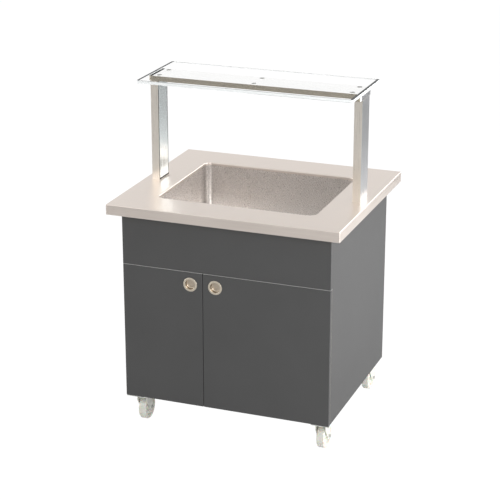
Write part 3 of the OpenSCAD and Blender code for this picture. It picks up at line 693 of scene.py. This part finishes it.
class SALADBAR_OT_worktop(bpy.types.Operator):
    """Model the folded worktop and the well that is rolled down from it, parted at their weld"""

    bl_idname = "saladbar.worktop"
    bl_label = "Worktop and well"

    def execute(self, context):
        sizes = context.scene.salad_bar_sizes
        low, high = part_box("worktop")
        well_low, well_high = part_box("basin")
        # the basin's flange is welded on round the opening
        flange, well_depth, weld_depth = 0.012, 0.215, 0.012
        wide = well_high.x - well_low.x - 2 * flange
        deep = well_high.y - well_low.y - 2 * flange
        top, floor, weld = high.z, high.z - well_depth, high.z - weld_depth
        # what lies further than this from the opening belongs to the outer edges
        clear = 0.01
        outer = lambda e: (abs(middle(e).x) > wide / 2 + clear
                           or abs(middle(e).y) > deep / 2 + clear)
        inside = lambda f: (abs(middle(f).x) < wide / 2 + NEAR
                            and abs(middle(f).y) < deep / 2 + NEAR)
        at_wall = lambda e: any(abs(f.normal.z) < 0.5 for f in e.link_faces)
        at_top = lambda e: all(abs(v.co.z - top) < NEAR / 10 for v in e.verts)
        beyond = lambda v, axis: abs(v.co[axis]) > high[axis] - NEAR

        # the opening with its round corners, and the outer edge with as many steps round it
        start()
        bpy.ops.mesh.primitive_plane_add(size=1.0, location=(0, 0, top))
        piece = bpy.context.active_object
        piece.scale = (wide, deep, 1)
        settle("worktop_sheet")
        edit(piece)
        pick_all()
        bpy.ops.mesh.bevel(offset=sizes.well_corner, segments=sizes.rounds, affect="VERTICES")
        pick_all()
        bpy.ops.mesh.delete(type="ONLY_FACE")
        count = pick("EDGE", lambda e: True)
        bpy.ops.mesh.primitive_plane_add(size=1.0, location=(0, 0, top))
        bpy.ops.transform.resize(
            value=(high.x - low.x, high.y - low.y, 1), center_override=(0, 0, top)
        )
        bpy.ops.mesh.delete(type="ONLY_FACE")
        pick("EDGE", outer)
        bpy.ops.mesh.subdivide(number_cuts=count // 4 - 1)
        pick("EDGE", lambda e: True)
        bpy.ops.mesh.bridge_edge_loops()

        # the well is drawn down from the opening, and its floor is tipped towards the drain
        pick("EDGE", lambda e: e.is_boundary and not outer(e))
        bpy.ops.mesh.edge_face_add()
        bpy.ops.mesh.extrude_region_move(TRANSFORM_OT_translate={"value": (0, 0, floor - top)})
        bpy.ops.transform.rotate(
            value=math.atan(sizes.well_fall / wide),
            orient_axis="Y",
            center_override=(-wide / 2, 0, floor),
        )

        # the outer edges are folded down
        pick("EDGE", lambda e: e.is_boundary)
        bpy.ops.mesh.extrude_edges_move(TRANSFORM_OT_translate={"value": (0, 0, low.z - top)})
        face_out()
        round_off(
            lambda e: inner(e) and at_wall(e) and not outer(e)
            and all(v.co.z < floor + clear for v in e.verts),
            sizes.well_floor, sizes.rounds,
        )
        round_off(lambda e: at_top(e) and at_wall(e) and not outer(e), sizes.rim, 5)
        round_off(
            lambda e: at_top(e) and any(all(beyond(v, axis) for v in e.verts) for axis in (0, 1))
            or runs(e, 2) and all(beyond(v, 0) and beyond(v, 1) for v in e.verts),
            sizes.worktop_fold, 4,
        )

        # parted at the weld under the rim
        pick("FACE", lambda f: inside(f) and middle(f).z < top - sizes.rim - NEAR)
        bpy.ops.mesh.bisect(plane_co=(0, 0, weld), plane_no=(0, 0, 1))
        pick("FACE", lambda f: inside(f) and middle(f).z < weld)
        bpy.ops.mesh.separate(type="SELECTED")
        start()
        well = [o for o in bpy.data.objects if o.name.startswith("worktop_sheet.")][0]
        well.name = well.data.name = "well_shell"
        give_wall(piece, SHEET)
        give_wall(well, THIN_SHEET)
        self.drain(well, floor)
        place(piece, "root", "stainless", "worktop")
        place(well, "root", "stainless", "basin", look="well_steel")
        return {"FINISHED"}

    def drain(self, well, floor):
        """Sink a round recess into the floor, with the hole for the waste."""
        drain_x, recess_r, recess_depth, hole_r = -0.25, 0.038, 0.003, 0.021
        bottom, reach = floor - recess_depth, 0.02
        # a cup of the same sheet is welded into the floor, and then both are cut out inside it
        cup = add_round(
            "cup", (drain_x, 0, bottom + THIN_SHEET), recess_r + THIN_SHEET, 4 * THIN_SHEET)
        combine(well, cup, "UNION")
        combine(well, add_round("recess", (drain_x, 0, bottom + reach / 2), recess_r, reach))
        combine(well, add_round("hole", (drain_x, 0, bottom), hole_r, reach / 2))


class SALADBAR_OT_cabinet(bpy.types.Operator):
    """Model the folded side panels, back panel, fascia, and the strip under it, a painted
    highlight
    """

    bl_idname = "saladbar.cabinet"
    bl_label = "Cabinet skins"

    def execute(self, context):
        fold = context.scene.salad_bar_sizes.fold
        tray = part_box("base_tray")[1].z
        for name, side in (("left_side_panel", -1), ("right_side_panel", 1)):
            self.side_panel(name, side, tray, fold)
        self.back_panel(tray, fold)
        low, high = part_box("front_fascia")
        fascia = folded_pan("fascia_skin", low, high, (1, 1), SHEET, fold)
        place(fascia, "root", "body_paint", "front_fascia")
        self.highlight_strip()
        return {"FINISHED"}

    def side_panel(self, name, side, tray, fold):
        """A tray open to the inside. Below the base's top it is a flat sheet without flanges."""
        piece = add_block(name + "_skin", *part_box(name))
        edit(piece)
        pick_all()
        bpy.ops.mesh.bisect(plane_co=(0, 0, tray), plane_no=(0, 0, 1))
        inward = looks(0, -side)
        flange = lambda f: abs(f.normal.y) > 0.9 and middle(f).z < tray
        open_up(lambda f: inward(f) or flange(f) or f.normal.z < -0.9)
        round_off(lambda e: inner(e) and abs(middle(e).z - tray) > NEAR, fold, 4)
        start()
        give_wall(piece, SHEET)
        place(piece, "root", "body_paint", name)

    def back_panel(self, tray, fold):
        """A flat sheet with folded stiffeners that lie between the side panels."""
        low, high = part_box("back_panel")
        side, lap, edge = 0.02, 0.001, 0.0005
        skin = add_block("back_panel_skin", (low.x, high.y - SHEET, low.z), high)
        soften(skin, edge)
        walls = folded_pan(
            "walls", (low.x + side, low.y, tray), (high.x - side, high.y - lap, high.z), (1, -1),
            SHEET, fold,
        )
        join(skin, walls)
        place(skin, "root", "body_paint", "back_panel")

    def highlight_strip(self):
        """Painted highlight under the fascia: a strip notched in line with the gap between the
        doors.
        """
        low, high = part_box("fascia_trim")
        notch, edge = 0.008, 0.0003
        left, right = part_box("left_door_pan")[1].x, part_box("right_door_pan")[0].x
        strip = add_block("fascia_strip", low, high)
        combine(strip, add_block(
            "gap", (left, low.y - PAST, low.z - PAST), (right, low.y + notch, high.z + PAST)))
        soften(strip, edge)
        place(strip, "root", "edge_trim", "fascia_trim")


class SALADBAR_OT_doors(bpy.types.Operator):
    """Model the two folded door skins with the holes for their pulls"""

    bl_idname = "saladbar.doors"
    bl_label = "Doors"

    def execute(self, context):
        fold = context.scene.salad_bar_sizes.fold
        hole_r, reach = 0.0215, 0.01
        for side in ("left", "right"):
            low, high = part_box(side + "_door_pan")
            pull_low, pull_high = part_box(side + "_door_pull")
            pull = (pull_low + pull_high) / 2
            piece = folded_pan(side + "_door_skin", low, high, (1, 1), THIN_SHEET, fold)
            combine(piece, add_round("hole", (pull.x, low.y, pull.z), hole_r, reach, "Y"))
            place(piece, side + "_door", "body_paint", side + "_door_pan")
        return {"FINISHED"}


class SALADBAR_OT_pulls(bpy.types.Operator):
    """Turn the two cup pulls: a flat ring with a drawn finger cup"""

    bl_idname = "saladbar.pulls"
    bl_label = "Cup pulls"

    def execute(self, context):
        # radius of the ring and of the cup, and the cup's depth and wall
        ring, cup, depth, wall = 0.028, 0.020, 0.013, THIN_SHEET
        # round edges: the cup's floor, its mouth and the ring; and where the turning starts
        corner, lip, edge, tip = 0.005, 0.0012, 0.0011, 0.0003
        for side in ("left", "right"):
            low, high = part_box(side + "_door_pull")
            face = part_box(side + "_door_pan")[0].y
            proud = face - low.y
            profile = [(tip, -depth)]
            profile += arc(cup - corner, corner - depth, corner, -90, 0)
            profile += arc(cup + lip, proud - lip, lip, 180, 90, 4)
            profile += arc(ring - edge, proud - edge, edge, 90, 0, 4)
            profile += [(ring, 0.0), (cup + wall, 0.0)]
            profile += arc(cup + wall - corner, corner - depth - wall, corner, 0, -90)
            profile += [(tip, -depth - wall)]
            centre = ((low.x + high.x) / 2, face, (low.z + high.z) / 2)
            piece = turned(side + "_cup_pull", centre, "Y", profile, 72)
            coat(piece, "satin_nickel", "ring_painted_sheen")
            edit(piece)
            # painted reflection: the ring's front faces get the lighter nickel
            paint(piece, 1, lambda f: f.normal.y < -0.5 and middle(f).y < face - proud / 2)
            start()
            place(piece, side + "_door", "satin_nickel", side + "_door_pull")
        return {"FINISHED"}


class SALADBAR_OT_posts(bpy.types.Operator):
    """Model the folded posts with the cover strips let into their inner faces"""

    bl_idname = "saladbar.posts"
    bl_label = "Posts"

    def execute(self, context):
        # the groove of the joint: its depth, and how far it runs past the cover's solid
        depth, margin = 0.0005, 0.0045
        post_edge, cover_edge = 0.0004, 0.0002
        trim = context.scene.salad_bar_sizes.joint - margin
        for side, inward in (("left", 1), ("right", -1)):
            low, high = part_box(side + "_post")
            cover_low, cover_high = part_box(side + "_post_cover")
            face = high.x if inward > 0 else low.x
            top, back = cover_high.z + margin, cover_high.y + margin
            piece = add_block(side + "_post_shell", low, high)
            coat(piece, "post_steel", "joint", "side_painted_shade")
            edit(piece)
            round_off(lambda e: runs(e, 2), post_edge, 2)
            # painted shade on the post's outer face
            paint(piece, 2, looks(0, -inward))
            start()
            combine(piece, add_block(
                "groove",
                (face - inward * depth, cover_low.y - margin, cover_low.z - margin),
                (face + inward * depth, back, top),
            ))
            edit(piece)
            # painted shadow: the groove, only 0.5 mm deep, is black to stand for the shadow in the
            # joint
            paint(piece, 1, lambda f: 0.4 * depth < abs(middle(f).x - face) < 1.5 * depth
                  and abs(middle(f).y) < back + NEAR)
            start()
            cover = add_block(
                side + "_post_strip",
                (face - inward * depth, cover_low.y + trim, cover_low.z + trim),
                (face, cover_high.y - trim, cover_high.z - trim),
            )
            soften(cover, cover_edge)
            place(piece, "root", "stainless", side + "_post")
            place(cover, "root", "stainless", side + "_post_cover", look="cover_strip")
        return {"FINISHED"}


class SALADBAR_OT_shelf(bpy.types.Operator):
    """Model the flat beam, and the glass shelf with its ground edges"""

    bl_idname = "saladbar.shelf"
    bl_label = "Beam and glass"

    def execute(self, context):
        sizes = context.scene.salad_bar_sizes
        self.beam(sizes)
        self.glass(sizes)
        return {"FINISHED"}

    def beam(self, sizes):
        """A flat beam with round corners, a polished top, and satin edges and ends in painted
        shade.
        """
        corner, edge = 0.012, 0.001
        beam = add_block("beam_shell", *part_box("shelf_beam"))
        # painted shade: the edges and underside keep the first, darker finish
        coat(beam, "beam_painted_shade", "mirror_polish", "side_painted_shade")
        edit(beam)
        round_off(lambda e: runs(e, 2), corner, sizes.rounds)
        round_off(lambda e: any(map(level, e.link_faces)), edge, 3)
        paint(beam, 1, looks(2, 1))
        # painted shade on the beam's ends
        paint(beam, 2, lambda f: abs(f.normal.x) > 0.7)
        start()
        place(beam, "root", "stainless", "shelf_beam")

    def glass(self, sizes):
        """A clear plate with frosted edges, and a band of painted dark reflection atop both ends.
        """
        corner = 0.006
        low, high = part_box("glass_shelf")
        end = high.x - sizes.band
        glass = add_block("glass_plate", low, high)
        coat(glass, "clear_glass", "glass_end_painted_reflection", "glass_edge")
        edit(glass)
        for cut in (-end, end):
            pick_all()
            bpy.ops.mesh.bisect(plane_co=(cut, 0, 0), plane_no=(1, 0, 0))
        round_off(lambda e: runs(e, 2) and abs(middle(e).x) > end + NEAR, corner, sizes.rounds)
        round_off(lambda e: {level(f) for f in e.link_faces} == {True, False}, sizes.arris, 1)
        paint(glass, 2, lambda f: abs(f.normal.z) < 0.4)
        # painted reflection: the tops of both ends are dark, standing for the pane's inside
        # mirrored there
        paint(glass, 1, lambda f: abs(middle(f).x) > end and (
            f.normal.z > 0.4 or f.normal.z < -0.4 and abs(f.normal.x) > 0.4))
        start()
        place(glass, "root", "clear_glass", "glass_shelf", smooth=14)


class SALADBAR_OT_castors(bpy.types.Operator):
    """Model the pressed castor forks, their axle bolts and the moulded wheels"""

    bl_idname = "saladbar.castors"
    bl_label = "Castors"

    def execute(self, context):
        # how far the axle lies behind the swivel, and the round of its bolt's edges
        trail, bolt_edge = 0.025, 0.0006
        for corner in CORNERS:
            low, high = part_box(corner + "_wheel")
            axle = (low + high) / 2
            swivel = Vector((axle.x, axle.y - trail, 0))
            self.fork(corner, axle, swivel)
            self.wheel(corner, axle, high.z / 2)
            softened_copy(corner + "_axle", bolt_edge, "zinc_steel", corner + "_castor_fork")
        return {"FINISHED"}

    def fork(self, corner, axle, swivel):
        """A crown and two tapering cheeks pressed from one sheet, with the race's skirt on it."""
        sheet, fold, edge = 0.0025, 0.005, 0.0005
        # a cheek tapers from a round head behind the swivel, which the crown cuts off, to its foot
        wide, foot_r, head_r, head_back, head_z, crown = 0.043, 0.013, 0.025, 0.005, 0.098, 0.1085
        head = (axle.x, swivel.y + head_back, head_z)
        piece = add_round(corner + "_yoke", axle, foot_r, wide, "X", 40)
        join(piece, add_round("head", head, head_r, wide, "X", 72))
        edit(piece)
        pick_all()
        bpy.ops.mesh.convex_hull()
        pick_all()
        bpy.ops.mesh.bisect(
            plane_co=(0, 0, crown), plane_no=(0, 0, 1), clear_outer=True, use_fill=True
        )
        merge_flat()
        open_up(lambda f: abs(f.normal.x) < 0.9 and f.normal.z < 0.9)
        round_off(inner, fold, 5)
        face_out()
        start()
        give_wall(piece, sheet)
        soften(piece, edge, angle=40)
        join(piece, self.race(swivel, crown, crown - sheet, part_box(corner + "_fork")[1].z))
        place(piece, corner + "_castor_fork", "zinc_steel", corner + "_fork", look="castor_zinc")

    def race(self, swivel, crown, under, top):
        """The round skirt over the swivel's race, open upwards."""
        pin_r, race_r, skirt_r, edge, roll = 0.0061, 0.0206, 0.027, 0.0005, 0.003
        profile = [(pin_r, under)]
        profile += arc(skirt_r - edge, under + 2 * edge, edge, -90, 0, 2)
        profile += arc(skirt_r - roll, top - roll, roll, 0, 90)
        profile += [(race_r, top), (race_r, crown), (pin_r, crown), profile[0]]
        return turned("race", swivel, "Z", profile, 56)

    def wheel(self, corner, axle, radius):
        """A one-piece wheel: a round-shouldered tread, a thin web and a hub."""
        half, edge, rim, bore = 0.016, 0.007, radius - 0.016, 0.0041
        hub_r, hub_half, web_half = 0.015, 0.0183, 0.006
        # rounds on the hub's and the rim's edges and in the web's corner, and the mould's draft
        lip, fillet, draft = 0.0012, 0.0025, 0.0015
        side = [(bore, -hub_half)]
        side += arc(hub_r - lip, lip - hub_half, lip, -90, 0, 3)
        side += [(hub_r + draft, -web_half - draft / 3)]
        side += arc(rim - fillet, -web_half - fillet, fillet, 90, 0, 3)
        side += arc(rim + draft + lip, lip - half, lip, 180, 270, 3)
        side += arc(radius - edge, edge - half, edge, -90, -15, 6)
        profile = side + [(r, -h) for r, h in reversed(side)] + side[:1]
        piece = turned(corner + "_tyre", axle, "X", profile, 72)
        place(piece, corner + "_castor_wheel", "wheel_nylon", corner + "_wheel")


class SALADBAR_OT_fittings(bpy.types.Operator):
    """Break the edges of the plates, bolts, valve, drain, brackets, clips, pads and screws"""

    bl_idname = "saladbar.fittings"
    bl_label = "Fittings"

    def execute(self, context):
        # CAD node, radius of its broken edges, slot, body
        for node, radius, slot, body in (
            ("castor_plates", 0.0006, "zinc_steel", "root"),
            ("castor_bolts", 0.0006, "zinc_steel", "root"),
            ("valve_body", 0.0007, "valve_brass", "root"),
            ("drain_waste", 0.0006, "valve_brass", "root"),
            ("valve_lever", 0.0008, "lever_grip", "drain_lever"),
            ("lower_hinge_brackets", 0.0004, "zinc_steel", "root"),
            ("door_catches", 0.0012, "catch_plastic", "root"),
            ("post_studs", 0.0004, "zinc_steel", "root"),
            ("shelf_clips", 0.0005, "zinc_steel", "root"),
            ("glass_pads", 0.0002, "pad_rubber", "root"),
        ):
            softened_copy(node, radius, slot, body)
        # seen through the glass, the screws' heads shine like the beam's top
        softened_copy("beam_screws", 0.0004, "zinc_steel", "root", look="mirror_polish")
        return {"FINISHED"}


class SALADBAR_OT_inner_sheets(bpy.types.Operator):
    """Give the sheets and pipes that keep their plain shapes their finishes"""

    bl_idname = "saladbar.inner_sheets"
    bl_label = "Inner sheets"

    def execute(self, context):
        slots = {part["node"]: part["material_slot"] for part in frame["record"]["subparts"]}
        for name, node in frame["nodes"].items():
            if not node.hide_render:
                node.data.materials.clear()
                coat(node, slots[name])
        return {"FINISHED"}


# ---- studio ----


# name, place, what it points at, watts
LAMPS = (
    ("key_right", (3.6, 0.0, 0.9), (0.0, 0.0, 0.6), 105.0),
    ("rim_back_right", (2.2, 2.8, 1.8), (0.0, 0.0, 0.7), 59.0),
    ("fill_front_right", (2.0, -3.2, 2.0), (0.0, 0.0, 0.7), 77.0),
    ("fill_front_left", (-2.4, -2.8, 2.0), (0.0, 0.0, 0.7), 19.0),
    ("fill_left", (-3.4, 0.0, 1.4), (0.0, 0.0, 0.7), 72.0),
)
# side of each square lamp
LAMP_SIDE = 2.0
# strength of the white surroundings: as soft light, in mirror images and as seen
AMBIENT = 0.245
MIRRORED = 1.0
SEEN = 1.0


def white_for(tree, path):
    """1 for rays that see the background itself: the camera's, and those that glass bends."""
    through = add(tree, "ShaderNodeMath", {
        0: path["Is Transmission Ray"], 1: path["Is Singular Ray"]}, operation="MAXIMUM")
    return add(tree, "ShaderNodeMath", {
        0: path["Is Camera Ray"], 1: through.outputs[0]}, operation="MAXIMUM").outputs[0]


class SALADBAR_OT_stage(bpy.types.Operator):
    """Set the floor, the white background, the lamps and the camera"""

    bl_idname = "saladbar.stage"
    bl_label = "Studio"

    def execute(self, context):
        context.scene.view_settings.view_transform = "Standard"
        self.world(context.scene)
        self.floor()
        for lamp in LAMPS:
            self.lamp(*lamp)
        context.scene.camera = self.camera()
        return {"FINISHED"}

    def world(self, scene):
        """White all round, and dimmer for the light that it throws."""
        scene.world = bpy.data.worlds.new("studio")
        scene.world.use_nodes = True
        tree = scene.world.node_tree
        path = add(tree, "ShaderNodeLightPath").outputs
        thrown = add(tree, "ShaderNodeMapRange", {
            0: path["Is Glossy Ray"], 3: AMBIENT, 4: MIRRORED})
        strength = add(tree, "ShaderNodeMapRange", {
            0: white_for(tree, path), 3: thrown.outputs[0], 4: SEEN})
        wire(tree, tree.nodes["Background"], {"Color": WHITE, "Strength": strength.outputs[0]})

    def floor(self):
        """White paper that shows mostly its own white, so that only soft shadows lie on it."""
        start()
        bpy.ops.mesh.primitive_plane_add(size=60.0, location=(0, 0, 0))
        plane = settle("studio_floor")
        material, tree, shader, spot = blank("white_paper_floor")
        glow, own_share = 1.07, 0.94
        paper = add(tree, "ShaderNodeMix", {
            0: mottle(tree, spot, 900.0),
            6: shade(linear("f2f2f2"), 1.0),
            7: shade(linear("f6f6f6"), 1.0),
        }, data_type="RGBA")
        wire(tree, shader, {
            "Base Color": paper.outputs[2], "Roughness": 0.9, "Specular IOR Level": 0.0})
        white = add(tree, "ShaderNodeEmission", {"Color": WHITE, "Strength": glow})
        path = add(tree, "ShaderNodeLightPath").outputs
        share = add(tree, "ShaderNodeMath", {
            0: white_for(tree, path), 1: own_share}, operation="MULTIPLY")
        mix = add(tree, "ShaderNodeMixShader", {
            0: share.outputs[0], 1: shader.outputs[0], 2: white.outputs[0]})
        # seen from below, the floor is open
        under = add(tree, "ShaderNodeNewGeometry").outputs["Backfacing"]
        open_air = add(tree, "ShaderNodeBsdfTransparent")
        both = add(tree, "ShaderNodeMixShader", {
            0: under, 1: mix.outputs[0], 2: open_air.outputs[0]})
        wire(tree, tree.nodes["Material Output"], {"Surface": both.outputs[0]})
        plane.data.materials.append(material)

    def lamp(self, name, spot, aim, watts):
        """A square soft lamp."""
        start()
        bpy.ops.object.light_add(type="AREA", location=spot)
        lamp = bpy.context.active_object
        lamp.name = lamp.data.name = name
        lamp.data.shape = "SQUARE"
        lamp.data.size = LAMP_SIDE
        lamp.data.energy = watts
        lamp.rotation_euler = (Vector(aim) - Vector(spot)).to_track_quat("-Z", "Y").to_euler()

    def camera(self):
        """The photograph's view: from the front, a little from the right and from above."""
        start()
        azimuth, elevation, distance = math.radians(20.725), math.radians(19.583), 6.507
        target = Vector((-0.0337, 0.0, 0.6664))
        away = Vector((
            math.sin(azimuth) * math.cos(elevation),
            -math.cos(azimuth) * math.cos(elevation),
            math.sin(elevation),
        ))
        bpy.ops.object.camera_add(location=target + away * distance)
        camera = bpy.context.active_object
        camera.name = camera.data.name = "camera"
        camera.rotation_euler = (-away).to_track_quat("-Z", "Y").to_euler()
        camera.data.lens = 118.1
        camera.data.sensor_width = 36.0
        camera.data.clip_end = 200.0
        return camera


class SALADBAR_PT_panel(bpy.types.Panel):
    """Sizes, colours and steps of the salad bar"""

    bl_idname = "SALADBAR_PT_panel"
    bl_label = "Salad Bar"
    bl_space_type = "VIEW_3D"
    bl_region_type = "UI"
    bl_category = "Salad Bar"

    def draw(self, context):
        for group in (context.scene.salad_bar_sizes, context.scene.salad_bar_colours):
            for name in group.bl_rna.properties.keys():
                if name not in ("rna_type", "name"):
                    self.layout.prop(group, name)
        for step in STEPS:
            self.layout.operator(step.bl_idname)


STEPS = (
    SALADBAR_OT_stage,
    SALADBAR_OT_worktop,
    SALADBAR_OT_cabinet,
    SALADBAR_OT_doors,
    SALADBAR_OT_pulls,
    SALADBAR_OT_posts,
    SALADBAR_OT_shelf,
    SALADBAR_OT_castors,
    SALADBAR_OT_fittings,
    SALADBAR_OT_inner_sheets,
)
CLASSES = (SaladBarSizes, SaladBarColours) + STEPS + (SALADBAR_PT_panel,)


def register():
    for one in CLASSES:
        bpy.utils.register_class(one)
    bpy.types.Scene.salad_bar_sizes = PointerProperty(type=SaladBarSizes)
    bpy.types.Scene.salad_bar_colours = PointerProperty(type=SaladBarColours)


def unregister():
    del bpy.types.Scene.salad_bar_colours
    del bpy.types.Scene.salad_bar_sizes
    for one in reversed(CLASSES):
        bpy.utils.unregister_class(one)


def main():
    """Build everything in order."""
    register()
    for step in STEPS:
        group, name = step.bl_idname.split(".")
        getattr(getattr(bpy.ops, group), name)()
    start()


if __name__ == "__main__":
    main()
